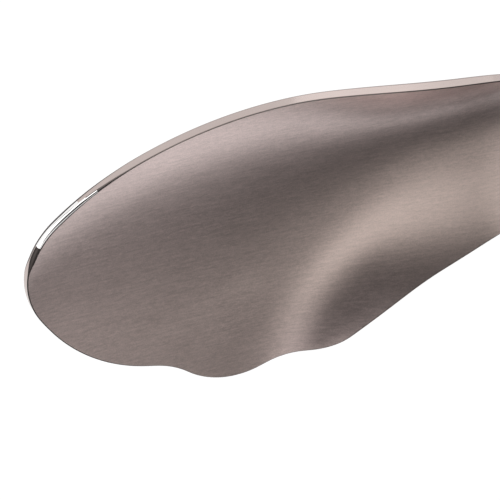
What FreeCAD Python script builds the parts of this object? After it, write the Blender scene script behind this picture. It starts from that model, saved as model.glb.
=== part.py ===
import FreeCAD, Part
import math
import os
import Sketcher

# Sculpting spatula: one formed stainless sheet (blade, channel neck and full tang) with bolsters and
# wooden scales riveted to the tang. x runs from the tip to the butt, y across the blade and z up out of
# its hollow side. The origin is the middle of the back scale's flat outer face.
#
# The outline is a chain of arcs. Each named circle touches it at one point of its edge, and an arc of
# its own radius joins it tangentially to the next. A place "ahead" lies that far in front of the handle.

Vector = FreeCAD.Vector
UP = Vector(0, 0, 1)

SIZES = {
    # handle
    "handle_length": 112.0,
    "handle_width": 22.0,
    "widest_place": 2.0,
    "side_radius": 560.0,
    "butt_radius": 14.0,
    "butt_corner_radius": 7.0,
    "sheet_thickness": 1.2,
    "scale_thickness": 6.4,
    "edge_round": 3.2,
    "bolster_length": 15.0,
    "nose_length": 7.5,
    "nose_radius": 9.0,
    # circles that the outline of the blade and neck touches, each at one point of its edge
    "tip_ahead": 103.0,
    "neck_top_ahead": 40.0,
    "neck_top_across": 14.4,
    "neck_top_slope": 14.0,
    "neck_top_radius": 250.0,
    "shoulder_behind_tip": 8.5,
    "shoulder_across": 13.2,
    "shoulder_slope": 28.4,
    "shoulder_radius": 38.0,
    "front_behind_tip": 2.2,
    "front_across": -5.2,
    "front_slope": 30.0,
    "front_radius": 80.0,
    "belly_behind_tip": 13.7,
    "belly_across": -14.7,
    "belly_slope": 19.0,
    "belly_radius": 51.0,
    "bump_behind_tip": 27.8,
    "bump_drop": 6.1,
    "bump_radius": 11.6,
    "heel_behind_tip": 40.2,
    "heel_drop": 4.8,
    "heel_slope": 12.4,
    "heel_radius": 11.0,
    "neck_low_ahead": 34.0,
    "neck_low_across": -11.0,
    "neck_low_slope": 12.0,
    "neck_low_radius": 300.0,
    # arcs that join them
    "neck_top_fillet": 70.0,
    "back_arc": 55.0,
    "tip_arc": 11.2,
    "front_bump_arc": 21.3,
    "front_notch_arc": 11.3,
    "heel_notch_arc": 18.0,
    "heel_flare": 51.0,
    "neck_low_fillet": 70.0,
    # forming: a lip along the back edge, a wall above the heel, and the valley between them
    "lip_height": 5.4,
    "lip_power": 3.1,
    "lip_start_ahead": 145.0,
    "lip_peak_ahead": 54.0,
    "wall_height": 8.4,
    "wall_power": 2.05,
    "wall_start_ahead": 73.0,
    "wall_full_ahead": 48.5,
    "wall_fade_ahead": 88.0,
    "valley_blade_across": -14.0,
    "valley_blade_ahead": 87.0,
    "valley_neck_across": 2.9,
    "valley_neck_ahead": 38.5,
    "channel_end_ahead": 12.0,
    "crank_start_ahead": 36.0,
    "crank_end_ahead": 5.0,
    # control net of the formed sheet
    "net_pitch_along": 5.0,
    "net_pitch_across": 2.8,
    "net_margin": 4.0,
    # rivets, pins and tube
    "rivet_head_diameter": 8.0,
    "rivet_head_thickness": 1.6,
    "rivet_tube_diameter": 5.0,
    "rivet_shank_diameter": 3.2,
    "rivet_end_gap": 0.8,
    "pin_diameter": 3.0,
    "pin_setback": 8.5,
    "pin_spread": 8.0,
    "tube_diameter": 7.0,
    "tube_bore": 5.0,
    "tube_setback": 11.0,
    "hole_clearance": 0.05,
}
RIVETS = 3
PINS = 2

doc = FreeCAD.newDocument("sculpting_spatula")
sheet = doc.addObject("Spreadsheet::Sheet", "Sizes")
for row, (alias, value) in enumerate(SIZES.items(), start=1):
    sheet.set(f"A{row}", alias)
    sheet.set(f"B{row}", str(value))
    sheet.setAlias(f"B{row}", alias)
doc.recompute()


# ------------------------------------------------------------------ sizes and what is worked out from them
class Measure:
    """A number worked out from the sizes, together with the sheet expression that gives it."""

    def __init__(self, value, text):
        self.value = value
        self.text = text

    def __add__(self, other):
        other = measure(other)
        return Measure(self.value + other.value, f"({self.text} + {other.text})")

    def __sub__(self, other):
        other = measure(other)
        return Measure(self.value - other.value, f"({self.text} - {other.text})")

    def __mul__(self, other):
        other = measure(other)
        return Measure(self.value * other.value, f"{self.text} * {other.text}")

    def __truediv__(self, number):
        return Measure(self.value / number, f"{self.text} / {number}")

    def __neg__(self):
        return Measure(-self.value, f"(0 - {self.text})")


def measure(thing):
    return thing if isinstance(thing, Measure) else Measure(thing, f"({thing})")


def size(alias):
    return Measure(float(sheet.get(alias)), "Sizes." + alias)


def cosine(degrees):
    return Measure(math.cos(math.radians(degrees.value)), f"cos({degrees.text} * 1 deg)")


def sine(degrees):
    return Measure(math.sin(math.radians(degrees.value)), f"sin({degrees.text} * 1 deg)")


def bind(thing, **measures):
    """Binds properties of an object to measures; a double underscore in a name stands for a dot."""
    for name, value in measures.items():
        thing.setExpression(name.replace("__", "."), measure(value).text)


sheet_thickness = size("sheet_thickness")
scale_thickness = size("scale_thickness")
clearance = size("hole_clearance")
butt_x = size("handle_length") / 2
front_x = -butt_x
bolster_end_x = front_x + size("bolster_length")
tip_x = front_x - size("tip_ahead")
tang_top = scale_thickness + sheet_thickness
handle_top = tang_top + scale_thickness


# ------------------------------------------------------------------ outline: circles and joining arcs
class Circle:
    """A circle, the point where the outline touches it, and the way the edge faces there."""

    def __init__(self, name, x, y, facing, radius):
        self.name = name
        self.radius = radius
        self.touch = Vector(x.value, y.value, 0)
        self.centre_x = x - radius * cosine(facing)
        self.centre_y = y - radius * sine(facing)
        self.centre = Vector(self.centre_x.value, self.centre_y.value, 0)


half_width = size("handle_width") / 2
widest_x = size("widest_place")
belly_y = size("belly_across")
side_top = Circle("side_top", widest_x, half_width, measure(90), size("side_radius"))
neck_top = Circle(
    "neck_top",
    front_x - size("neck_top_ahead"),
    size("neck_top_across"),
    measure(90) - size("neck_top_slope"),
    size("neck_top_radius"),
)
shoulder = Circle(
    "shoulder",
    tip_x + size("shoulder_behind_tip"),
    size("shoulder_across"),
    measure(90) + size("shoulder_slope"),
    size("shoulder_radius"),
)
front = Circle(
    "front",
    tip_x + size("front_behind_tip"),
    size("front_across"),
    measure(180) + size("front_slope"),
    size("front_radius"),
)
belly = Circle(
    "belly",
    tip_x + size("belly_behind_tip"),
    belly_y,
    measure(270) - size("belly_slope"),
    size("belly_radius"),
)
bump = Circle(
    "bump",
    tip_x + size("bump_behind_tip"),
    belly_y - size("bump_drop"),
    measure(270),
    size("bump_radius"),
)
heel = Circle(
    "heel",
    tip_x + size("heel_behind_tip"),
    belly_y - size("heel_drop"),
    measure(270) + size("heel_slope"),
    size("heel_radius"),
)
neck_low = Circle(
    "neck_low",
    front_x - size("neck_low_ahead"),
    size("neck_low_across"),
    measure(270) + size("neck_low_slope"),
    size("neck_low_radius"),
)
side_low = Circle("side_low", widest_x, -half_width, measure(270), size("side_radius"))
butt = Circle("butt", butt_x, measure(0), measure(0), size("butt_radius"))


class Join:
    """Arc that is tangent to two circles of the outline, outside them where it is hollow."""

    def __init__(self, first, second, radius_name, hollow=False):
        self.name = f"{first.name}_to_{second.name}"
        self.radius = size(radius_name)
        self.hollow = hollow
        sign = 1 if hollow else -1
        reach_first = abs(first.radius.value + sign * self.radius.value)
        reach_second = abs(second.radius.value + sign * self.radius.value)
        between = second.centre - first.centre
        span = between.Length
        along = (reach_first**2 - reach_second**2 + span**2) / (2 * span)
        rise = math.sqrt(reach_first**2 - along**2)
        foot = first.centre + between * (along / span)
        normal = UP.cross(between) * (rise / span)
        choices = [self.touching(first, second, foot + normal), self.touching(first, second, foot - normal)]
        stray, self.centre, self.start, self.end = min(choices, key=lambda choice: choice[0])

    def touching(self, first, second, centre):
        """How far from the circles' own touching points an arc about this centre would meet them."""
        start = self.meets(first, centre)
        end = self.meets(second, centre)
        return (start - first.touch).Length + (end - second.touch).Length, centre, start, end

    def meets(self, circle, centre):
        reach = centre - circle.centre
        outward = self.hollow or self.radius.value < circle.radius.value
        return circle.centre + reach * ((1 if outward else -1) * circle.radius.value / reach.Length)


class Chain:
    """Arcs and lines laid in a sketch one after another, anticlockwise."""

    def __init__(self, sketch):
        self.sketch = sketch
        self.first = None
        self.last = None

    def bound(self, name, constraint, value):
        number = self.sketch.addConstraint(constraint)
        self.sketch.renameConstraint(number, name)
        self.sketch.setExpression("Constraints." + name, value.text)

    def follow(self, kind, index, entry, leaving):
        """Ties a new piece to the last one; kind is Tangent or Coincident."""
        if self.last:
            self.sketch.addConstraint(Sketcher.Constraint(kind, *self.last, index, entry))
        self.first = self.first or (index, entry)
        self.last = (index, leaving)

    def arc(self, name, centre, radius, start, end, hollow=False):
        low, high = (end - centre, start - centre) if hollow else (start - centre, end - centre)
        circle = Part.Circle(centre, UP, radius.value)
        arc = Part.ArcOfCircle(circle, math.atan2(low.y, low.x), math.atan2(high.y, high.x))
        index = self.sketch.addGeometry(arc)
        self.bound(name + "_radius", Sketcher.Constraint("Radius", index, radius.value), radius)
        return index

    def circle(self, circle, start, end, kind="Tangent"):
        index = self.arc(circle.name, circle.centre, circle.radius, start, end)
        across = Sketcher.Constraint("DistanceX", -1, 1, index, 3, circle.centre.x)
        self.bound(circle.name + "_x", across, circle.centre_x)
        if abs(circle.centre.y) > 0:
            along = Sketcher.Constraint("DistanceY", -1, 1, index, 3, circle.centre.y)
            self.bound(circle.name + "_y", along, circle.centre_y)
        else:
            self.sketch.addConstraint(Sketcher.Constraint("PointOnObject", index, 3, -1))
        self.follow(kind, index, 1, 2)

    def join(self, join):
        index = self.arc(join.name, join.centre, join.radius, join.start, join.end, join.hollow)
        entry, leaving = (2, 1) if join.hollow else (1, 2)
        self.follow("Tangent", index, entry, leaving)

    def across(self, name, x, start_y, end_y):
        """Straight line across the tool at x."""
        line = Part.LineSegment(Vector(x.value, start_y, 0), Vector(x.value, end_y, 0))
        index = self.sketch.addGeometry(line)
        self.sketch.addConstraint(Sketcher.Constraint("Vertical", index))
        self.bound(name, Sketcher.Constraint("DistanceX", -1, 1, index, 1, x.value), x)
        self.follow("Coincident", index, 1, 2)

    def along(self, start_x, end_x, y, kind="Coincident"):
        """Straight line along the tool; what it is tied to gives its place."""
        line = Part.LineSegment(Vector(start_x, y, 0), Vector(end_x, y, 0))
        index = self.sketch.addGeometry(line)
        self.sketch.addConstraint(Sketcher.Constraint("Horizontal", index))
        self.follow(kind, index, 1, 2)

    def close(self, kind):
        self.sketch.addConstraint(Sketcher.Constraint(kind, *self.last, *self.first))


low_corner = Join(side_low, butt, "butt_corner_radius")
top_corner = Join(butt, side_top, "butt_corner_radius")
back_join = Join(neck_top, shoulder, "back_arc")


def draw_blade_outline(sketch):
    ring = [side_top, neck_top, shoulder, front, belly, bump, heel, neck_low, side_low, butt]
    joins = [
        Join(side_top, neck_top, "neck_top_fillet", hollow=True),
        back_join,
        Join(shoulder, front, "tip_arc"),
        Join(front, belly, "front_bump_arc"),
        Join(belly, bump, "front_notch_arc", hollow=True),
        Join(bump, heel, "heel_notch_arc", hollow=True),
        Join(heel, neck_low, "heel_flare", hollow=True),
        Join(neck_low, side_low, "neck_low_fillet", hollow=True),
        low_corner,
        top_corner,
    ]
    chain = Chain(sketch)
    for place, circle in enumerate(ring):
        chain.circle(circle, joins[place - 1].end, joins[place].start)
        chain.join(joins[place])
    chain.close("Tangent")


def side_point(x, side):
    """Point of the handle's side at x; side is 1 on the lip's side and -1 on the heel's."""
    reach = x.value - side_top.centre.x
    return Vector(x.value, side * (side_top.centre.y + math.sqrt(side_top.radius.value**2 - reach**2)), 0)


def draw_scale_outline(sketch):
    """The handle from the bolster's end to the butt."""
    low = side_point(bolster_end_x, -1)
    top = side_point(bolster_end_x, 1)
    chain = Chain(sketch)
    chain.circle(side_low, low, low_corner.start)
    chain.join(low_corner)
    chain.circle(butt, low_corner.end, top_corner.start)
    chain.join(top_corner)
    chain.circle(side_top, top_corner.end, top)
    chain.across("scale_front", bolster_end_x, top.y, low.y)
    chain.close("Coincident")


def draw_bolster_outline(sketch):
    """The handle from its front to the bolster's end."""
    low_front = side_point(front_x, -1)
    low_end = side_point(bolster_end_x, -1)
    top_end = side_point(bolster_end_x, 1)
    top_front = side_point(front_x, 1)
    chain = Chain(sketch)
    chain.circle(side_low, low_front, low_end)
    chain.across("bolster_end", bolster_end_x, low_end.y, top_end.y)
    chain.circle(side_top, top_end, top_front, "Coincident")
    chain.across("bolster_front", front_x, top_front.y, low_front.y)
    chain.close("Coincident")


def draw_nose(sketch, is_front):
    """What the bolster's sloping nose leaves off, seen from the side: x along and z up."""
    side = 1 if is_front else -1
    outer = handle_top if is_front else measure(0)
    nose = Circle("nose", front_x + size("nose_length"), outer, measure(90 * side), size("nose_radius"))
    reach = front_x.value - nose.centre.x
    low = nose.centre + Vector(reach, side * math.sqrt(nose.radius.value**2 - reach**2), 0)
    chain = Chain(sketch)
    if is_front:
        chain.circle(nose, nose.touch, low)
        chain.across("bolster_front", front_x, low.y, nose.touch.y)
        chain.along(low.x, nose.touch.x, nose.touch.y)
        chain.close("Tangent")
    else:
        chain.circle(nose, low, nose.touch)
        chain.along(nose.touch.x, low.x, nose.touch.y, "Tangent")
        chain.across("bolster_front", front_x, nose.touch.y, low.y)
        chain.close("Coincident")


# ------------------------------------------------------------------ blade: the formed sheet
def rise(ahead, zero_name, full_name):
    """0 at one place ahead and 1 at another, with smooth slope and curvature between."""
    zero = size(zero_name).value
    share = (ahead - zero) / (size(full_name).value - zero)
    share = min(max(share, 0), 1)
    return share**3 * (share * (6 * share - 15) + 10)


def line_through(first, second, x):
    return first.y + (x - first.x) * (second.y - first.y) / (second.x - first.x)


def back_edge(x):
    """The blade's back edge, where the lip is highest: an arc, then straight along the neck."""
    if x > back_join.start.x:
        return line_through(back_join.start, neck_top.touch, x)
    radius = back_join.radius.value
    reach = max(x - back_join.centre.x, 1 - radius)
    return back_join.centre.y + math.sqrt(radius**2 - reach**2)


def heel_edge(x):
    return line_through(heel.touch, neck_low.touch, x)


def sheet_height(x, y):
    """Height of the sheet's upper face."""
    ahead = max(front_x.value - x, size("channel_end_ahead").value)
    edge_x = front_x.value - ahead
    turn = rise(ahead, "valley_blade_ahead", "valley_neck_ahead")
    valley = size("valley_blade_across").value * (1 - turn) + size("valley_neck_across").value * turn
    lip = size("lip_height").value * rise(ahead, "lip_start_ahead", "lip_peak_ahead")
    lip *= rise(ahead, "channel_end_ahead", "lip_peak_ahead")
    wall = size("wall_height").value * rise(ahead, "wall_start_ahead", "wall_full_ahead")
    wall *= rise(ahead, "channel_end_ahead", "wall_fade_ahead")
    toward_lip = max(y - valley, 0) / (back_edge(edge_x) - valley)
    toward_wall = max(valley - y, 0) / (valley - heel_edge(edge_x))
    crank = scale_thickness.value * rise(front_x.value - x, "crank_start_ahead", "crank_end_ahead")
    formed = lip * toward_lip ** size("lip_power").value + wall * toward_wall ** size("wall_power").value
    return sheet_thickness.value + crank + formed


def spaced(start, end, pitch):
    steps = math.ceil((end - start) / pitch)
    return [start + (end - start) * step / steps for step in range(steps + 1)]


def control_places(knots):
    """Where the poles of a clamped cubic lie, so that an even net keeps the net's own shape."""
    full = [knots[0]] * 3 + knots + [knots[-1]] * 3
    return [sum(full[pole + 1:pole + 4]) / 3 for pole in range(len(knots) + 2)]


def formed_face():
    margin = size("net_margin").value
    knots_x = spaced(tip_x.value - margin, front_x.value, size("net_pitch_along").value)
    knots_x.append(butt_x.value + margin)
    low_y = bump.touch.y - margin
    high_y = back_edge(back_join.centre.x) + margin
    knots_y = spaced(low_y, high_y, size("net_pitch_across").value)
    places_y = control_places(knots_y)
    poles = [[Vector(x, y, sheet_height(x, y)) for y in places_y] for x in control_places(knots_x)]
    repeats_x = [4] + [1] * (len(knots_x) - 2) + [4]
    repeats_y = [4] + [1] * (len(knots_y) - 2) + [4]
    surface = Part.BSplineSurface()
    surface.buildFromPolesMultsKnots(poles, repeats_x, repeats_y, knots_x, knots_y, False, False, 3, 3)
    return surface.toShape()


def cylinder(name, x, y, z, radius, height):
    thing = doc.addObject("Part::Cylinder", name)
    bind(thing, Radius=radius, Height=height)
    bind(thing, Placement__Base__x=x, Placement__Base__y=y, Placement__Base__z=z)
    return thing


def boolean(kind, name, base, tool):
    thing = doc.addObject(kind, name)
    thing.Base = base
    thing.Tool = tool
    return thing


# places of the rivets, pins and lanyard tube
tube_x = butt_x - size("tube_setback")
rivet_pitch = (tube_x - bolster_end_x) / RIVETS
rivet_numbers = range(1, RIVETS + 1)
pin_numbers = range(1, PINS + 1)
pin_x = front_x + size("pin_setback")
rivet_hole_radius = size("rivet_tube_diameter") / 2 + clearance
pin_hole_radius = size("pin_diameter") / 2 + clearance
tube_hole_radius = size("tube_diameter") / 2 + clearance


def rivet_x(number):
    """Rivets stand a pitch apart, the outer two half a pitch from the bolster and the lanyard tube."""
    return bolster_end_x + rivet_pitch * (number - 1 / 2)


def pin_y(number):
    return size("pin_spread") * (number - (PINS + 1) / 2)


def tang_holes():
    """Tools that cut the holes for rivets, pins and lanyard tube through the tang."""
    low = scale_thickness - sheet_thickness
    height = sheet_thickness * 3
    flat = measure(0)
    holes = [cylinder("tang_tube_hole", tube_x, flat, low, tube_hole_radius, height)]
    for number in rivet_numbers:
        name = f"tang_rivet_hole_{number}"
        holes.append(cylinder(name, rivet_x(number), flat, low, rivet_hole_radius, height))
    for number in pin_numbers:
        name = f"tang_pin_hole_{number}"
        holes.append(cylinder(name, pin_x, pin_y(number), low, pin_hole_radius, height))
    tools = doc.addObject("Part::MultiFuse", "tang_holes")
    tools.Shapes = holes
    return tools


def make_blade():
    skin = doc.addObject("Part::Feature", "formed_skin")
    skin.Shape = formed_face()
    outline = doc.addObject("Sketcher::SketchObject", "blade_outline")
    draw_blade_outline(outline)
    prism = doc.addObject("Part::Extrusion", "outline_prism")
    prism.Base = outline
    prism.Dir = UP
    prism.Solid = True
    bind(prism, LengthFwd=handle_top + size("lip_height") + size("wall_height"), LengthRev=scale_thickness)
    trimmed = boolean("Part::Common", "trimmed_skin", skin, prism)
    thick = doc.addObject("Part::Offset", "thick_sheet")
    thick.Source = trimmed
    thick.Mode = "Skin"
    thick.Join = "Arc"
    thick.Fill = True
    bind(thick, Value=-sheet_thickness)
    return boolean("Part::Cut", "blade", thick, tang_holes())


# ------------------------------------------------------------------ bolsters and scales
class Slab:
    """Body on the front or the back of the tang, padded from a part of the handle's outline."""

    def __init__(self, name, draw_outline, is_front):
        self.name = name
        self.is_front = is_front
        self.outer = handle_top if is_front else measure(0)
        self.body = doc.addObject("PartDesign::Body", name)
        outline = self.sketch("outline")
        bind(outline, AttachmentOffset__Base__z=tang_top if is_front else measure(0))
        draw_outline(outline)
        self.tip = self.feature("PartDesign::Pad", "block", outline, scale_thickness)

    def sketch(self, label, role="XY_Plane"):
        plane = next(plane for plane in self.body.Origin.OriginFeatures if plane.Role == role)
        sketch = self.body.newObject("Sketcher::SketchObject", f"{self.name}_{label}")
        sketch.AttachmentSupport = [(plane, "")]
        sketch.MapMode = "FlatFace"
        return sketch

    def feature(self, kind, label, profile, length):
        thing = self.body.newObject(kind, f"{self.name}_{label}")
        thing.Profile = profile
        bind(thing, Length=length)
        return thing

    def drill(self, label, holes, depth):
        """Round pockets from the outer face; holes lists x, y and radius."""
        sketch = self.sketch(label + "_circles")
        bind(sketch, AttachmentOffset__Base__z=self.outer)
        for number, (x, y, radius) in enumerate(holes, start=1):
            draw_circle(sketch, f"hole_{number}", x, y, radius)
        pocket = self.feature("PartDesign::Pocket", label, sketch, depth)
        pocket.Reversed = not self.is_front

    def round_edges(self, label, keep, radius):
        """Rounds the edges of the outer face whose middle passes the test."""
        doc.recompute()
        height = self.outer.value
        edges = []
        for number, edge in enumerate(self.tip.Shape.Edges, start=1):
            box = edge.BoundBox
            flat = abs(box.ZMin - height) < 1e-6 and abs(box.ZMax - height) < 1e-6
            middle = edge.valueAt((edge.FirstParameter + edge.LastParameter) / 2)
            if flat and keep(middle):
                edges.append(f"Edge{number}")
        rounding = self.body.newObject("PartDesign::Fillet", f"{self.name}_{label}")
        rounding.Base = (self.tip, edges)
        bind(rounding, Radius=radius)
        self.tip = rounding


def draw_circle(sketch, name, x, y, radius):
    centre = Vector(x.value, y.value, 0)
    index = sketch.addGeometry(Part.Circle(centre, UP, radius.value))
    constraints = [
        ("x", Sketcher.Constraint("DistanceX", -1, 1, index, 3, centre.x), x),
        ("y", Sketcher.Constraint("DistanceY", -1, 1, index, 3, centre.y), y),
        ("radius", Sketcher.Constraint("Radius", index, radius.value), radius),
    ]
    for label, constraint, value in constraints:
        number = sketch.addConstraint(constraint)
        sketch.renameConstraint(number, f"{name}_{label}")
        sketch.setExpression(f"Constraints.{name}_{label}", value.text)


def make_scale(name, is_front):
    slab = Slab(name, draw_scale_outline, is_front)
    behind_bolster = bolster_end_x.value + clearance.value
    slab.round_edges("rounding", lambda middle: middle.x > behind_bolster, size("edge_round"))
    seat_radius = size("rivet_head_diameter") / 2 + clearance
    middle = measure(0)
    seats = [(rivet_x(number), middle, seat_radius) for number in rivet_numbers]
    holes = [(rivet_x(number), middle, rivet_hole_radius) for number in rivet_numbers]
    holes.append((tube_x, middle, tube_hole_radius))
    slab.drill("rivet_seats", seats, size("rivet_head_thickness"))
    slab.drill("through_holes", holes, scale_thickness)
    return slab.body


def make_bolster(name, is_front):
    slab = Slab(name, draw_bolster_outline, is_front)
    low_x = front_x.value + clearance.value
    high_x = bolster_end_x.value - clearance.value
    slab.round_edges("rounding", lambda middle: low_x < middle.x < high_x, size("edge_round"))
    profile = slab.sketch("nose_profile", "XZ_Plane")
    draw_nose(profile, is_front)
    nose = slab.feature("PartDesign::Pocket", "nose", profile, size("handle_width") * 2)
    nose.Midplane = True
    holes = [(pin_x, pin_y(number), pin_hole_radius) for number in pin_numbers]
    slab.drill("pin_holes", holes, scale_thickness)
    return slab.body


# ------------------------------------------------------------------ rivets, pins and lanyard tube
def make_rivet(number):
    """Cutler's rivet: a solid half pressed into a tubular half, each with a flush head."""
    x = rivet_x(number)
    middle = measure(0)
    head_radius = size("rivet_head_diameter") / 2
    thickness = size("rivet_head_thickness")
    shank_radius = size("rivet_shank_diameter") / 2
    between_heads = handle_top - thickness * 2
    head = cylinder(f"male_head_{number}", x, middle, handle_top - thickness, head_radius, thickness)
    shank_low = thickness + size("rivet_end_gap")
    shank_height = handle_top - thickness / 2 - shank_low
    shank = cylinder(f"male_shank_{number}", x, middle, shank_low, shank_radius, shank_height)
    male = boolean("Part::Fuse", f"rivet_male_{number}", head, shank)
    flange = cylinder(f"female_head_{number}", x, middle, middle, head_radius, thickness)
    tube_low = thickness / 2
    tube_height = between_heads + thickness / 2
    tube_radius = size("rivet_tube_diameter") / 2
    tube = cylinder(f"female_tube_{number}", x, middle, tube_low, tube_radius, tube_height)
    bore = cylinder(f"female_bore_{number}", x, middle, thickness, shank_radius + clearance, handle_top)
    shell = boolean("Part::Fuse", f"female_shell_{number}", flange, tube)
    female = boolean("Part::Cut", f"rivet_female_{number}", shell, bore)
    return [male, female]


def make_pin(number):
    radius = size("pin_diameter") / 2
    return cylinder(f"bolster_pin_{number}", pin_x, pin_y(number), measure(0), radius, handle_top)


def make_lanyard_tube():
    middle = measure(0)
    outer = cylinder("tube_outer", tube_x, middle, middle, size("tube_diameter") / 2, handle_top)
    height = handle_top + sheet_thickness * 2
    inner = cylinder("tube_inner", tube_x, middle, -sheet_thickness, size("tube_bore") / 2, height)
    return boolean("Part::Cut", "lanyard_tube", outer, inner)


# ------------------------------------------------------------------ build, check and write
def make_parts():
    parts = [
        make_blade(),
        make_bolster("front_bolster", True),
        make_bolster("back_bolster", False),
        make_scale("front_scale", True),
        make_scale("back_scale", False),
        make_lanyard_tube(),
    ]
    for number in rivet_numbers:
        parts.extend(make_rivet(number))
    for number in pin_numbers:
        parts.append(make_pin(number))
    return parts


def check(parts):
    for thing in doc.Objects:
        if "Invalid" in thing.State or "Error" in thing.State:
            raise RuntimeError(f"{thing.Name} failed: {thing.State}")
    for part in parts:
        if part.Shape.isNull() or not part.Shape.isValid():
            raise RuntimeError(f"{part.Label} has no valid shape")
        if len(part.Shape.Solids) != 1:
            raise RuntimeError(f"{part.Label} has {len(part.Shape.Solids)} solids")


parts = make_parts()
doc.recompute()
check(parts)
os.makedirs("parts", exist_ok=True)
for part in parts:
    part.Shape.exportStep(f"parts/{part.Label}.step")
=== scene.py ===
"""Looks of the sculpting spatula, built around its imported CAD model."""

import math

import bmesh
import bpy
import numpy as np
from mathutils import Matrix, Vector
from mathutils.geometry import delaunay_2d_cdt


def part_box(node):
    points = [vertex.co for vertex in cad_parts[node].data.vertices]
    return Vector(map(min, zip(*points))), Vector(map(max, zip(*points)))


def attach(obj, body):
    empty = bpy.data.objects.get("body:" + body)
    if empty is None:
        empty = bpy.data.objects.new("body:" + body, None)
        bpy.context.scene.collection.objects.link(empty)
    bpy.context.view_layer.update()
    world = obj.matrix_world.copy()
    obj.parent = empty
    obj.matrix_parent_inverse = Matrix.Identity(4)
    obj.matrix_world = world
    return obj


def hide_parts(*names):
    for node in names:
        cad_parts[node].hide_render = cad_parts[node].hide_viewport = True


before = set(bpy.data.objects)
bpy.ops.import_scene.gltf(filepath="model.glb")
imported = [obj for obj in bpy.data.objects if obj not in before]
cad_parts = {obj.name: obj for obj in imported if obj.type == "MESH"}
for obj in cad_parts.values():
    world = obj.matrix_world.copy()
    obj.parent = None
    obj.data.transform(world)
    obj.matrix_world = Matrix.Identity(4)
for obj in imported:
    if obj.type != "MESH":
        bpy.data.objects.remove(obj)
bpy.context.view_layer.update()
MM = 0.001


# ---------------------------------------------------------------- materials
class Shader:
    """A material, and short ways to add and link its nodes."""

    def __init__(self, name):
        self.material = bpy.data.materials.new(name)
        self.material.use_nodes = True
        self.tree = self.material.node_tree
        self.tree.nodes.clear()

    def feed(self, socket, value):
        """Links the socket to an output, or sets it to a plain value."""
        if isinstance(value, bpy.types.NodeSocket):
            self.tree.links.new(value, socket)
        else:
            socket.default_value = value

    def add(self, kind, settings, *values, **named):
        """Adds a node. Its inputs are fed in their order, and then by name."""
        node = self.tree.nodes.new("ShaderNode" + kind)
        for key, value in settings.items():
            setattr(node, key, value)
        for socket, value in zip(node.inputs, values):
            self.feed(socket, value)
        for key, value in named.items():
            self.feed(node.inputs[key.replace("_", " ")], value)
        return node

    def place(self):
        """The place on the object, and its x, y and z."""
        place = self.add("TexCoord", {}).outputs["Object"]
        return place, tuple(self.add("SeparateXYZ", {}, place).outputs)

    def math(self, operation, *values):
        return self.add("Math", {"operation": operation}, *values).outputs[0]

    def noise(self, vector, scale, detail, roughness=0.5):
        node = self.add("TexNoise", {}, Vector=vector, Scale=scale, Detail=detail, Roughness=roughness)
        return node.outputs[0]

    def streaks(self, axes, scales, detail, roughness):
        """Noise with a scale of its own along each axis."""
        scaled = [self.math("MULTIPLY", axis, scale) for axis, scale in zip(axes, scales)]
        vector = self.add("CombineXYZ", {}, *scaled).outputs[0]
        return self.noise(vector, 1.0, detail, roughness)

    def span(self, value, low, high, to_low, to_high):
        """Maps a value from one range to another, held at its ends."""
        return self.add("MapRange", {}, value, low, high, to_low, to_high).outputs[0]

    def mix(self, factor, first, second):
        """Mixes two colours, whose sockets come after those for numbers and vectors."""
        FIRST, SECOND, MIXED = 6, 7, 2
        node = self.add("Mix", {"data_type": "RGBA"}, factor)
        self.feed(node.inputs[FIRST], first)
        self.feed(node.inputs[SECOND], second)
        return node.outputs[MIXED]

    def finish(self, **named):
        surface = self.add("BsdfPrincipled", {}, **named)
        self.add("OutputMaterial", {}, surface.outputs[0])
        return self.material


def steel(name, tint, roughness, bow=0.0, lean=0.0, depth=0.1, bump=0.1, run=0.2, deep=1.0, tip=1.0):
    """Brushed metal. Its lines run along x, and can lean to one side and bow towards the blade's tip.

    The lines darken it by depth, and run and deep are their scales along x and z. Below 1, tip
    paints shade onto the metal at the blade's tip, making it darker there as a painted dark reflection.
    """
    BLACK = (0, 0, 0, 1)
    BOW_CREST = -131 * MM
    BOW_REACH = 35 * MM
    TIP_FADE = (-152 * MM, -138 * MM)
    FINE, LONG, GRAIN = 0.35, 0.25, 0.4
    LINE_RANGE = (0.35, 0.65)
    CLOUD_RANGE = (0.3, 0.7)
    CLOUD_DEPTH = 0.04
    ROUGHNESS_CHANGE = 0.02
    BUMP_HEIGHT = 0.02 * MM
    shader = Shader(name)
    place, (x, y, z) = shader.place()
    ahead = shader.math("MAXIMUM", shader.math("SUBTRACT", BOW_CREST, x), -BOW_REACH)
    bowed = shader.math("MULTIPLY", shader.math("MULTIPLY", ahead, ahead), bow)
    across = shader.math("ADD", y, shader.math("ADD", bowed, shader.math("MULTIPLY", x, lean)))

    def strokes(along_scale, across_scale):
        scales = (along_scale * run, across_scale, across_scale * deep)
        return shader.streaks((x, across, z), scales, 1.0, 0.6)

    fine = shader.math("MULTIPLY", strokes(1100.0, 4000.0), FINE)
    long = shader.math("MULTIPLY", strokes(220.0, 2900.0), LONG)
    grain = shader.math("MULTIPLY", shader.noise(place, 6000.0, 1.0), GRAIN)
    lines = shader.math("ADD", shader.math("ADD", fine, long), grain)
    cloud = shader.noise(place, 60.0, 3.0, 0.6)
    shade = shader.span(lines, *LINE_RANGE, 1 - depth, 1.0)
    shade = shader.math("MULTIPLY", shade, shader.span(cloud, *CLOUD_RANGE, 1 - CLOUD_DEPTH, 1.0))
    # painted shade: the metal darkens towards the blade's tip
    if tip < 1:
        shade = shader.math("MULTIPLY", shade, shader.span(x, *TIP_FADE, tip, 1.0))
    rough = shader.span(lines, *LINE_RANGE, roughness - ROUGHNESS_CHANGE, roughness + ROUGHNESS_CHANGE)
    normal = shader.add("Bump", {}, Strength=bump, Distance=BUMP_HEIGHT, Height=lines).outputs[0]
    colour = shader.mix(shade, BLACK, (*tint, 1))
    return shader.finish(Base_Color=colour, Metallic=1.0, Roughness=rough, Normal=normal)


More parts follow.
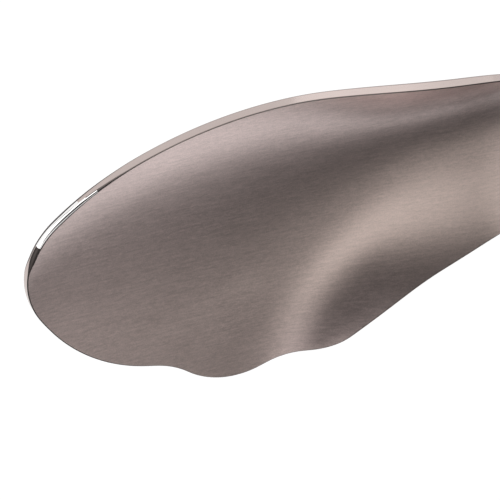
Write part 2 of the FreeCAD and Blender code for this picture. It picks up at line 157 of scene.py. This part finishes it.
BOW = 1.15
STEEL_TINT = (0.732, 0.589, 0.562)
EDGE_TINT = (0.53, 0.45, 0.425)
# painted highlight: a near-white tint, brighter than the steel, gives a bright streak on the edge near the
# tip
PAINTED_HIGHLIGHT_TINT = (0.92, 0.90, 0.89)
# painted shade: a dark tint on the arrises that stands in for a dark reflection
PAINTED_DARK_ARRIS_TINT = (0.26, 0.22, 0.208)
BOLSTER_TINT = (0.60, 0.55, 0.52)
PIN_TINT = (0.66, 0.62, 0.60)
BRASS_TINT = (0.70, 0.47, 0.19)
BRUSHED = steel(
    "brushed_steel", STEEL_TINT, 0.30, bow=BOW, lean=0.08, depth=0.27, bump=0.12, run=1.0, deep=0.25
)
POLISHED = steel("polished_edge", EDGE_TINT, 0.10, bow=BOW, depth=0.03, bump=0.05)
# polished edge near the tip, its colour lightened into a painted highlight
TIP_POLISH_AND_PAINTED_HIGHLIGHT = steel("tip_polish_painted_highlight", PAINTED_HIGHLIGHT_TINT, 0.07, bow=BOW, depth=0.03, bump=0.03)
# arrises painted dark, and darker still at the tip: a painted dark reflection
PAINTED_DARK_ARRIS = steel("arris_painted_dark_reflection", PAINTED_DARK_ARRIS_TINT, 0.30, bow=BOW, depth=0.05, bump=0.05, tip=0.17)
BOLSTER = steel("satin_bolster", BOLSTER_TINT, 0.28, depth=0.12)
PIN = steel("pin_steel", PIN_TINT, 0.22, depth=0.10)
BRASS = steel("satin_brass", BRASS_TINT, 0.26, depth=0.12)


def walnut():
    """Oiled walnut with its grain along the handle."""
    DARK = (0.050, 0.022, 0.011, 1)
    MIDDLE = (0.130, 0.062, 0.031, 1)
    LIGHT = (0.235, 0.118, 0.060, 1)
    STREAK = (0.060, 0.028, 0.014, 1)
    PORE = (0.018, 0.009, 0.005, 1)
    WANDER = 12 * MM
    BUMP_HEIGHT = 0.08 * MM
    shader = Shader("oiled_walnut")
    place, (x, y, z) = shader.place()
    stretched = shader.add("CombineXYZ", {}, shader.math("MULTIPLY", x, 18.0), y, z).outputs[0]
    wander = shader.math("SUBTRACT", shader.noise(stretched, 1.0, 2.0), 0.5)
    drift = shader.math("MULTIPLY", wander, WANDER)
    across = shader.math("ADD", y, drift)
    deep = shader.math("ADD", z, shader.math("MULTIPLY", drift, 0.6))
    rings = shader.streaks((x, across, deep), (9.0, 420.0, 260.0), 3.0, 0.55)
    fibre = shader.streaks((x, across, deep), (110.0, 5200.0, 3600.0), 3.0, 0.6)
    pore = shader.streaks((x, across, deep), (330.0, 4200.0, 3200.0), 1.0, 0.5)
    ramp = shader.add("ValToRGB", {}, shader.span(rings, 0.25, 0.75, 0.0, 1.0))
    stops = ramp.color_ramp.elements
    stops[0].position, stops[0].color = 0.0, DARK
    stops[1].position, stops[1].color = 1.0, LIGHT
    stops.new(0.45).color = MIDDLE
    streaked = shader.mix(shader.span(fibre, 0.35, 0.65, 0.0, 0.35), ramp.outputs[0], STREAK)
    open_pore = shader.span(pore, 0.66, 0.72, 0.0, 0.8)
    colour = shader.mix(open_pore, streaked, PORE)
    fibre_rough = shader.span(fibre, 0.3, 0.7, 0.38, 0.5)
    rough = shader.math("ADD", fibre_rough, shader.math("MULTIPLY", open_pore, 0.2))
    height = shader.math("SUBTRACT", shader.math("MULTIPLY", fibre, 0.4), open_pore)
    normal = shader.add("Bump", {}, Strength=0.5, Distance=BUMP_HEIGHT, Height=height).outputs[0]
    return shader.finish(
        Base_Color=colour, Roughness=rough, Normal=normal, Coat_Weight=0.12, Coat_Roughness=0.35
    )


WALNUT = walnut()


# ---------------------------------------------------------------- the formed sheet, read off the CAD blade
def basis(knots, places):
    """Values of the cubic B-splines on these knots at each place."""
    JUST_INSIDE = 1e-12
    full = np.concatenate([[knots[0]] * 3, knots, [knots[-1]] * 3])
    places = np.clip(places, full[0], full[-1] - JUST_INSIDE)
    values = ((full[:-1] <= places[:, None]) & (places[:, None] < full[1:])).astype(float)
    for degree in range(1, 4):
        count = len(full) - degree - 1
        low, high = full[:count], full[degree + 1:]
        rise = np.where(full[degree:-1] > low, full[degree:-1] - low, 1)
        fall = np.where(high > full[1:count + 1], high - full[1:count + 1], 1)
        left = values[:, :count] * (places[:, None] - low) / rise
        right = values[:, 1:count + 1] * (high - places[:, None]) / fall
        values = left + right
    return values


def spaced(start, end, pitch):
    return np.linspace(start, end, math.ceil((end - start) / pitch) + 1)


def unit(vectors):
    return vectors / np.linalg.norm(vectors, axis=1)[:, None]


class Sheet:
    """Smooth height of the blade's upper face, on the CAD surface's own net of cubic B-splines.

    The net is solved from points of the CAD blade. A little stiffness settles it where there are none.
    """

    PITCH_ALONG = 5.0 * MM
    PITCH_ACROSS = 2.8 * MM
    MARGIN = 4.0 * MM
    STIFFNESS = 1e-8
    SLOPE_STEP = 0.05 * MM
    SPLINES_AT_A_POINT = 16

    def __init__(self, points):
        low = points.min(0) - self.MARGIN
        high = points.max(0) + self.MARGIN
        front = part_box("front_bolster")[0][0]
        self.knots_x = np.append(spaced(low[0], front, self.PITCH_ALONG), high[0])
        self.knots_y = spaced(low[1], high[1], self.PITCH_ACROSS)
        nx = len(self.knots_x) + 2
        ny = len(self.knots_y) + 2
        bend_x = np.diff(np.eye(nx), 3, axis=0)
        bend_y = np.diff(np.eye(ny), 3, axis=0)
        system = np.kron(bend_x.T @ bend_x, np.eye(ny)) + np.kron(np.eye(nx), bend_y.T @ bend_y)
        system *= self.STIFFNESS
        rows = self.product(points)
        used = np.argsort(-rows, axis=1)[:, :self.SPLINES_AT_A_POINT]
        shares = np.take_along_axis(rows, used, 1)
        products = shares[:, :, None] * shares[:, None, :]
        np.add.at(system, (used[:, :, None], used[:, None, :]), products)
        self.net = np.linalg.solve(system, points[:, 2] @ rows)

    def product(self, points):
        across = basis(self.knots_y, points[:, 1])
        along = basis(self.knots_x, points[:, 0])
        return (along[:, :, None] * across[:, None, :]).reshape(len(points), -1)

    def height(self, points):
        return self.product(points) @ self.net

    def above(self, plan):
        """The sheet's points above places in plan."""
        return np.concatenate([plan, self.height(plan)[:, None]], 1)

    def normal(self, points):
        slopes = []
        for axis in (0, 1):
            ahead = points[:, :2].copy()
            behind = points[:, :2].copy()
            ahead[:, axis] += self.SLOPE_STEP
            behind[:, axis] -= self.SLOPE_STEP
            slopes.append((self.height(ahead) - self.height(behind)) / (2 * self.SLOPE_STEP))
        return unit(np.stack([-slopes[0], -slopes[1], np.ones(len(points))], 1))


def filling(first, second, third):
    """Points inside a large level triangle, where the CAD mesh has none."""
    PITCH = 2 * MM
    longest = max((first - second).length, (second - third).length, (third - first).length)
    steps = math.ceil(longest / PITCH)
    shares = [(a / steps, b / steps) for a in range(1, steps) for b in range(1, steps - a)]
    return [first * a + second * b + third * (1 - a - b) for a, b in shares]


def smooth_patch(seed):
    """The faces that can be reached from the seed over no sharp edge. A dict keeps them in order."""
    SHARP = 0.6
    patch = {seed: True}
    waiting = [seed]
    while waiting:
        face = waiting.pop()
        for edge in face.edges:
            for other in edge.link_faces:
                if other not in patch and face.normal.angle(other.normal) < SHARP:
                    patch[other] = True
                    waiting.append(other)
    return patch


def boundary_loops(patch):
    """Points of the closed loops around a patch of faces, longest loop first."""
    neighbours = {}
    for face in patch:
        for edge in face.edges:
            if sum(other in patch for other in edge.link_faces) == 1:
                for vertex in edge.verts:
                    neighbours.setdefault(vertex, []).append(edge.other_vert(vertex))
    loops = []
    while neighbours:
        loop = []
        onward = [next(iter(neighbours))]
        while onward:
            loop.append(onward[0])
            onward = [vertex for vertex in neighbours.pop(loop[-1]) if vertex in neighbours]
        loops.append(np.array([vertex.co for vertex in loop]))
    loops.sort(key=lambda loop: -np.linalg.norm(np.diff(loop, axis=0), axis=1).sum())
    return loops


def top_face(mesh):
    """Points of the blade's upper face, and its boundary loops, longest first."""
    MERGE = 1e-7
    UPWARD = 0.999
    LEVEL = 0.99999
    work = bmesh.new()
    work.from_mesh(mesh)
    bmesh.ops.remove_doubles(work, verts=work.verts, dist=MERGE)
    upward = [face for face in work.faces if face.normal.z > UPWARD]
    patch = smooth_patch(max(upward, key=lambda face: face.calc_area()))
    loops = boundary_loops(patch)
    corners = dict.fromkeys(vertex for face in patch for vertex in face.verts)
    points = [vertex.co for vertex in corners]
    for face in patch:
        if face.normal.z > LEVEL:
            points += filling(*(vertex.co for vertex in face.verts))
    points = np.array(points)
    work.free()
    return points, loops


def smooth_loop(points, pitch):
    """Evenly spaced points and tangents of the closed cubic spline through the points."""
    count = len(points)
    chords = np.linalg.norm(np.roll(points, -1, 0) - points, axis=1)
    system = np.zeros((count, count))
    wanted = np.zeros((count, points.shape[1]))
    for here in range(count):
        before = (here - 1) % count
        after = (here + 1) % count
        system[here, before] = chords[here]
        system[here, here] = 2 * (chords[before] + chords[here])
        system[here, after] = chords[before]
        wanted[here] = 3 * (
            chords[here] * (points[here] - points[before]) / chords[before]
            + chords[before] * (points[after] - points[here]) / chords[here]
        )
    slopes = np.linalg.solve(system, wanted)
    length = chords.sum()
    stations = round(length / pitch)
    places = np.arange(stations) * length / stations
    starts = np.concatenate([[0], np.cumsum(chords)])
    piece = np.clip(np.searchsorted(starts, places, side="right") - 1, 0, count - 1)
    after = (piece + 1) % count
    chord = chords[piece][:, None]
    t = (places - starts[piece])[:, None] / chord
    p0, p1 = points[piece], points[after]
    m0, m1 = slopes[piece] * chord, slopes[after] * chord
    at = (2 * t**3 - 3 * t**2 + 1) * p0 + (t**3 - 2 * t**2 + t) * m0
    at = at + (3 * t**2 - 2 * t**3) * p1 + (t**3 - t**2) * m1
    tangent = (6 * t**2 - 6 * t) * (p0 - p1) + (3 * t**2 - 4 * t + 1) * m0 + (3 * t**2 - 2 * t) * m1
    return at, unit(tangent)


def inside(points, ring):
    """Which points lie inside a closed ring, in plan."""
    x, y = points[:, 0][:, None], points[:, 1][:, None]
    x0, y0 = ring[:, 0], ring[:, 1]
    x1, y1 = np.roll(x0, -1), np.roll(y0, -1)
    crosses = (y0 > y) != (y1 > y)
    run = np.where(y1 == y0, 1, y1 - y0)
    return (crosses & (x < x0 + (y - y0) * (x1 - x0) / run)).sum(1) % 2 == 1


# ---------------------------------------------------------------- the blade
THICKNESS = 1.2 * MM
ARC_STEPS = 5


class Builder:
    """Vertices with normals, and faces with finishes, gathered for one mesh."""

    def __init__(self):
        self.places = []
        self.facings = []
        self.faces = []
        self.finishes = []
        self.corner_normals = []

    def add(self, places, facings):
        """Adds vertices and gives their numbers."""
        first = len(self.places)
        self.places.extend(places)
        self.facings.extend(facings)
        return np.arange(first, first + len(places))

    def face(self, corners, finish, normals=None):
        """Adds a face, which takes its vertices' normals unless it is given others."""
        self.faces.append([int(corner) for corner in corners])
        self.finishes.append(finish)
        self.corner_normals.extend(normals or [self.facings[corner] for corner in corners])

    def build(self, name, materials):
        mesh = bpy.data.meshes.new(name)
        mesh.from_pydata([tuple(place) for place in self.places], [], self.faces)
        for material in materials:
            mesh.materials.append(material)
        slots = [materials.index(finish) for finish in self.finishes]
        mesh.polygons.foreach_set("material_index", slots)
        mesh.polygons.foreach_set("use_smooth", [True] * len(self.faces))
        mesh.normals_split_custom_set([tuple(normal) for normal in self.corner_normals])
        mesh.update()
        piece = bpy.data.objects.new(name, mesh)
        bpy.context.scene.collection.objects.link(piece)
        return piece


class Rim:
    """Stations along the sheet's outline, anticlockwise, and the sheet's directions at each."""

    PITCH = 0.55 * MM

    def __init__(self, outline, sheet):
        plan, tangent = smooth_loop(outline, self.PITCH)
        x, y = plan[:, 0], plan[:, 1]
        if (x * np.roll(y, -1) - np.roll(x, -1) * y).sum() < 0:
            plan, tangent = plan[::-1], -tangent[::-1]
        self.low, self.high = plan.min(0), plan.max(0)
        self.edge = sheet.above(plan)
        self.normal = sheet.normal(plan)
        lean_x, lean_y, upright = self.normal.T
        rise = -(lean_x * tangent[:, 0] + lean_y * tangent[:, 1]) / upright
        along = unit(np.concatenate([tangent, rise[:, None]], 1))
        self.outward = np.cross(along, self.normal)
        self.bearing = np.degrees(np.arctan2(self.outward[:, 1], self.outward[:, 0]))


def edge_rings(builder, rim):
    """Rings of vertices over the edge, from the upper arris to the lower one. They are rounder at the tip."""
    ARRIS = 0.14 * MM
    TIP_ARRIS = 0.55 * MM
    TIP_BEARINGS = (112, 126, 158, 168)
    at_tip = np.interp(rim.bearing, TIP_BEARINGS, (0, 1, 1, 0))
    arris = (ARRIS + (TIP_ARRIS - ARRIS) * at_tip)[:, None]
    rings = []
    for depth, turn in ((arris, 0), (THICKNESS - arris, math.pi / 2)):
        centre = rim.edge - arris * rim.outward - depth * rim.normal
        for step in range(ARC_STEPS + 1):
            angle = math.pi / 2 * step / ARC_STEPS + turn
            facing = math.cos(angle) * rim.normal + math.sin(angle) * rim.outward
            rings.append(builder.add(centre + arris * facing, facing))
    return rings


def edge_finish(step, bearing):
    """Arrises painted dark, a painted dark reflection, and a polished side. Near the tip is a painted
    highlight that starts in a point: near-white polished steel on that stretch of edge.
    """
    PAINTED_HIGHLIGHT_FROM, PAINTED_HIGHLIGHT_TO = 115.5, 148
    POINT_STEP = 2
    POINT_SLOPE = 1.8
    start = PAINTED_HIGHLIGHT_FROM + POINT_SLOPE * abs(step - POINT_STEP)
    # the edge faces in this stretch get the painted highlight
    if 1 <= step <= ARC_STEPS and start < bearing < PAINTED_HIGHLIGHT_TO:
        return TIP_POLISH_AND_PAINTED_HIGHLIGHT
    # the side is polished steel, and the arrises get the painted dark reflection
    return POLISHED if step == ARC_STEPS else PAINTED_DARK_ARRIS


class Hole:
    """A round hole in the tang, in plan."""

    SIDES = 48

    def __init__(self, loop):
        plan = loop[:, :2]
        self.middle = plan.mean(0)
        self.radius = self.distance(plan).mean()
        turns = np.linspace(0, 2 * math.pi, self.SIDES, endpoint=False)
        self.ring = self.middle + self.radius * np.stack([np.cos(turns), np.sin(turns)], 1)

    def distance(self, points):
        """Distance of each point from the hole's middle."""
        return np.linalg.norm(points - self.middle, axis=1)


def grid_within(rim, ring, holes):
    """Points of a triangular grid within the ring, clear of it and of the holes."""
    PITCH = 0.9 * MM
    CLEAR_OF_RING = PITCH * 0.55
    CLEAR_OF_HOLE = PITCH * 0.4
    grid = []
    for row, y in enumerate(np.arange(rim.low[1], rim.high[1], PITCH * math.sqrt(3) / 2)):
        for x in np.arange(rim.low[0] + (row % 2) * PITCH / 2, rim.high[0], PITCH):
            grid.append((x, y))
    grid = np.array(grid)
    clear = np.linalg.norm(grid[:, None] - ring[None, ::2], axis=2).min(1) > CLEAR_OF_RING
    keep = clear & inside(grid, ring)
    for hole in holes:
        keep &= hole.distance(grid) > hole.radius + CLEAR_OF_HOLE
    return grid[keep]


def triangulate(rings, grid, holes):
    """Anticlockwise triangles between closed rings and a grid of points in plan, but not over the holes."""
    WITHIN_CONSTRAINTS = 1
    TOLERANCE = 1e-9
    OVER_HOLE = 0.98
    plan = np.concatenate([*rings, grid])
    constraints = []
    first = 0
    for ring in rings:
        count = len(ring)
        constraints += [(first + k, first + (k + 1) % count) for k in range(count)]
        first += count
    places = [Vector(place) for place in plan]
    faces, origins = delaunay_2d_cdt(places, constraints, [], WITHIN_CONSTRAINTS, TOLERANCE)[2:4]
    source = [origin[0] for origin in origins]
    triangles = np.array([[source[corner] for corner in face] for face in faces])
    for hole in holes:
        centres = plan[triangles].mean(1)
        triangles = triangles[hole.distance(centres) > hole.radius * OVER_HOLE]
    a, b, c = plan[triangles[:, 0]], plan[triangles[:, 1]], plan[triangles[:, 2]]
    turned = (b[:, 0] - a[:, 0]) * (c[:, 1] - a[:, 1]) - (b[:, 1] - a[:, 1]) * (c[:, 0] - a[:, 0]) < 0
    triangles[turned] = triangles[turned][:, ::-1]
    return triangles


def build_blade():
    """The blade with its arrises rounded, as one closed mesh with the sheet's own normals."""
    points, loops = top_face(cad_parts["blade"].data)
    sheet = Sheet(points)
    rim = Rim(loops[0][:, :2], sheet)
    holes = [Hole(loop) for loop in loops[1:]]
    builder = Builder()
    rings = edge_rings(builder, rim)
    outline = np.array([builder.places[index] for index in rings[0]])[:, :2]
    hole_rings = [hole.ring for hole in holes]
    grid = grid_within(rim, outline, holes)
    triangles = triangulate([outline, *hole_rings], grid, holes)
    flat = np.concatenate([*hole_rings, grid])
    flat_normal = sheet.normal(flat)
    flat_top = sheet.above(flat)
    upper = np.concatenate([rings[0], builder.add(flat_top, flat_normal)])
    lower = np.concatenate([rings[-1], builder.add(flat_top - THICKNESS * flat_normal, -flat_normal)])

    for triangle in triangles:
        builder.face(upper[triangle], BRUSHED)
        builder.face(lower[triangle][::-1], BRUSHED)
    for step, (first, second) in enumerate(zip(rings, rings[1:])):
        for here, bearing in enumerate(rim.bearing):
            after = (here + 1) % len(first)
            corners = [first[here], second[here], second[after], first[after]]
            builder.face(corners, edge_finish(step, bearing))
    start = len(outline)
    for hole in holes:
        for side in range(hole.SIDES):
            here = start + side
            after = start + (side + 1) % hole.SIDES
            corners = [upper[here], upper[after], lower[after], lower[here]]
            inward = [Vector((*(hole.middle - builder.places[corner][:2]), 0)) for corner in corners]
            builder.face(corners, BRUSHED, [direction.normalized() for direction in inward])
        start += hole.SIDES

    piece = builder.build("blade_sheet", [BRUSHED, POLISHED, PAINTED_DARK_ARRIS, TIP_POLISH_AND_PAINTED_HIGHLIGHT])
    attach(piece, "root")
    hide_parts("blade")


# ---------------------------------------------------------------- CAD nodes
def soft_shading():
    """Nodes that shade smooth, but keep sharp edges crisp."""
    MERGE = 1e-6
    SHARP = math.radians(25)
    group = bpy.data.node_groups.new("soft_shading", "GeometryNodeTree")
    group.interface.new_socket("Geometry", in_out="INPUT", socket_type="NodeSocketGeometry")
    group.interface.new_socket("Geometry", in_out="OUTPUT", socket_type="NodeSocketGeometry")
    start = group.nodes.new("NodeGroupInput")
    end = group.nodes.new("NodeGroupOutput")
    merge = group.nodes.new("GeometryNodeMergeByDistance")
    merge.inputs["Distance"].default_value = MERGE
    angle = group.nodes.new("GeometryNodeInputMeshEdgeAngle")
    gentle = group.nodes.new("FunctionNodeCompare")
    gentle.operation = "LESS_THAN"
    gentle.inputs[1].default_value = SHARP
    faces = group.nodes.new("GeometryNodeSetShadeSmooth")
    edges = group.nodes.new("GeometryNodeSetShadeSmooth")
    edges.domain = "EDGE"
    link = group.links.new
    link(start.outputs[0], merge.inputs[0])
    link(merge.outputs[0], faces.inputs[0])
    link(faces.outputs[0], edges.inputs[0])
    link(angle.outputs[0], gentle.inputs[0])
    link(gentle.outputs[0], edges.inputs["Shade Smooth"])
    link(edges.outputs[0], end.inputs[0])
    return group


FINISHES = {
    "front_bolster": BOLSTER,
    "back_bolster": BOLSTER,
    "front_scale": WALNUT,
    "back_scale": WALNUT,
    "bolster_pin_1": PIN,
    "bolster_pin_2": PIN,
    "blade": BRUSHED,
}


def dress_nodes():
    """Gives each CAD node its finish. The rivets and the lanyard tube are brass."""
    shading = soft_shading()
    for name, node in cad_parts.items():
        node.data.materials.clear()
        node.data.materials.append(FINISHES.get(name, BRASS))
        modifier = node.modifiers.new("soft_shading", "NODES")
        modifier.node_group = shading


# ---------------------------------------------------------------- camera, light and floor
def add_camera():
    """Looks down on the blade from its lipped side, 35 degrees off straight above."""
    TILT = math.radians(35)
    TURN = math.radians(136)
    LEAN = math.radians(12)
    LENS = 135.0
    SENSOR = 36.0
    FIELD = 66.5 * MM
    AIM = Vector((-126 * MM, 0, 1.2 * MM))
    AIM_RIGHT = 1.596 * MM
    AIM_ABOVE = 2.66 * MM
    CLIP_START, CLIP_END = 0.01, 20
    distance = FIELD * LENS / SENSOR
    toward = Vector((math.sin(TILT) * math.cos(TURN), math.sin(TILT) * math.sin(TURN), math.cos(TILT)))
    level = Vector((math.cos(TURN), math.sin(TURN), 0))
    side = Vector((-math.sin(TURN), math.cos(TURN), 0))
    tilted = level * math.cos(TILT) - Vector((0, 0, 1)) * math.sin(TILT)
    right = tilted * level.x + side * side.x
    up = tilted * level.y + side * side.y
    spin = Matrix.Rotation(-LEAN, 3, "Z")
    toward, right, up = spin @ toward, spin @ right, spin @ up
    place = AIM + toward * distance - right * AIM_RIGHT - up * AIM_ABOVE
    data = bpy.data.cameras.new("camera")
    data.lens = LENS
    data.sensor_width = SENSOR
    data.clip_start = CLIP_START
    data.clip_end = CLIP_END
    camera = bpy.data.objects.new("camera", data)
    camera.matrix_world = Matrix((
        (right.x, up.x, toward.x, place.x),
        (right.y, up.y, toward.y, place.y),
        (right.z, up.z, toward.z, place.z),
        (0, 0, 0, 1),
    ))
    bpy.context.scene.collection.objects.link(camera)
    bpy.context.scene.camera = camera


NEUTRAL = (1.0, 1.0, 1.0)
COOL = (0.965, 1.0, 1.015)
WARM = (0.99, 1.0, 0.94)


def add_lamp(name, azimuth, elevation, spread, radiance, tint=NEUTRAL):
    """Round soft lamp, aimed at the blade. Seen from there, its rim is spread degrees from its middle."""
    REACH = 2.0
    AIM = Vector((-110 * MM, 0, 3 * MM))
    azimuth, elevation = math.radians(azimuth), math.radians(elevation)
    level = math.cos(elevation)
    toward = Vector((level * math.cos(azimuth), level * math.sin(azimuth), math.sin(elevation)))
    radius = REACH * math.tan(math.radians(spread))
    data = bpy.data.lights.new(name, "AREA")
    data.shape = "DISK"
    data.size = 2 * radius
    data.color = tint
    data.energy = 4 * math.pi * radius**2 * radiance
    lamp = bpy.data.objects.new(name, data)
    lamp.location = AIM + toward * REACH
    lamp.rotation_euler = toward.to_track_quat("Z", "Y").to_euler()
    bpy.context.scene.collection.objects.link(lamp)


def add_lamps():
    """Lamps low and high across from the camera, and broad ones around the other sides."""
    add_lamp("low_left", 278, 18, 13, 0.70, COOL)
    add_lamp("low_right", 286, 18, 13, 0.16, COOL)
    add_lamp("low_middle", 281, 19, 11, 0.53, COOL)
    add_lamp("side", 300, 30, 12, 0.035)
    add_lamp("wide", 245, 40, 30, 0.32)
    add_lamp("steep", 250, 55, 22, 0.28)
    add_lamp("overhead", 326, 65, 11, 0.72, WARM)
    add_lamp("overhead_wide", 322, 63, 13, 0.16, WARM)
    add_lamp("top", 290, 74, 10, 0.25, WARM)
    add_lamp("rim", 45, 12, 34, 0.85)
    add_lamp("fill_back", 100, 27, 30, 1.3)
    add_lamp("fill_tip", 166, 27, 30, 1.25)
    add_lamp("fill_front", 208, 30, 24, 1.0)


def add_world():
    """Dim grey studio, lighter towards +Y, the side that the camera is on."""
    DIM, LIGHT = 0.05, 0.28
    DIM_BELOW, LIGHT_ABOVE = 0.38, 0.62
    WHITE = (1, 1, 1, 1)
    world = bpy.data.worlds.new("studio")
    world.use_nodes = True
    nodes, link = world.node_tree.nodes, world.node_tree.links.new
    place = nodes.new("ShaderNodeTexCoord")
    axes = nodes.new("ShaderNodeSeparateXYZ")
    level = nodes.new("ShaderNodeMapRange")
    for socket, value in zip(level.inputs[1:5], (DIM_BELOW, LIGHT_ABOVE, DIM, LIGHT)):
        socket.default_value = value
    link(place.outputs["Generated"], axes.inputs[0])
    link(axes.outputs[1], level.inputs[0])
    link(level.outputs[0], nodes["Background"].inputs[1])
    nodes["Background"].inputs[0].default_value = WHITE
    bpy.context.scene.world = world


def add_floor():
    """Wide pale floor. The camera and metal see it white, with the object's soft shadow."""
    REACH = 6.0
    BELOW = -0.02 * MM
    PALE = (0.8, 0.8, 0.8, 1)
    FAINT = (0.12, 0.12, 0.12, 1)
    WHITE = (1, 1, 1, 1)
    GLOW = 0.95
    shader = Shader("floor_white")
    path = shader.add("LightPath", {}).outputs
    seen = shader.math("MAXIMUM", path["Is Camera Ray"], path["Is Glossy Ray"])
    seen = shader.math("MAXIMUM", seen, path["Is Transmission Ray"])
    plain = shader.add("BsdfDiffuse", {}, PALE).outputs[0]
    faint = shader.add("BsdfDiffuse", {}, FAINT).outputs[0]
    glow = shader.add("Emission", {}, WHITE, GLOW).outputs[0]
    white = shader.add("AddShader", {}, faint, glow).outputs[0]
    mixed = shader.add("MixShader", {}, seen, plain, white).outputs[0]
    shader.add("OutputMaterial", {}, mixed)
    mesh = bpy.data.meshes.new("floor")
    corners = [(-REACH, -REACH, BELOW), (REACH, -REACH, BELOW), (REACH, REACH, BELOW), (-REACH, REACH, BELOW)]
    mesh.from_pydata(corners, [], [(0, 1, 2, 3)])
    mesh.materials.append(shader.material)
    floor = bpy.data.objects.new("floor", mesh)
    bpy.context.scene.collection.objects.link(floor)


add_camera()
add_world()
add_lamps()
add_floor()
dress_nodes()
build_blade()
bpy.context.scene.view_settings.view_transform = "Standard"
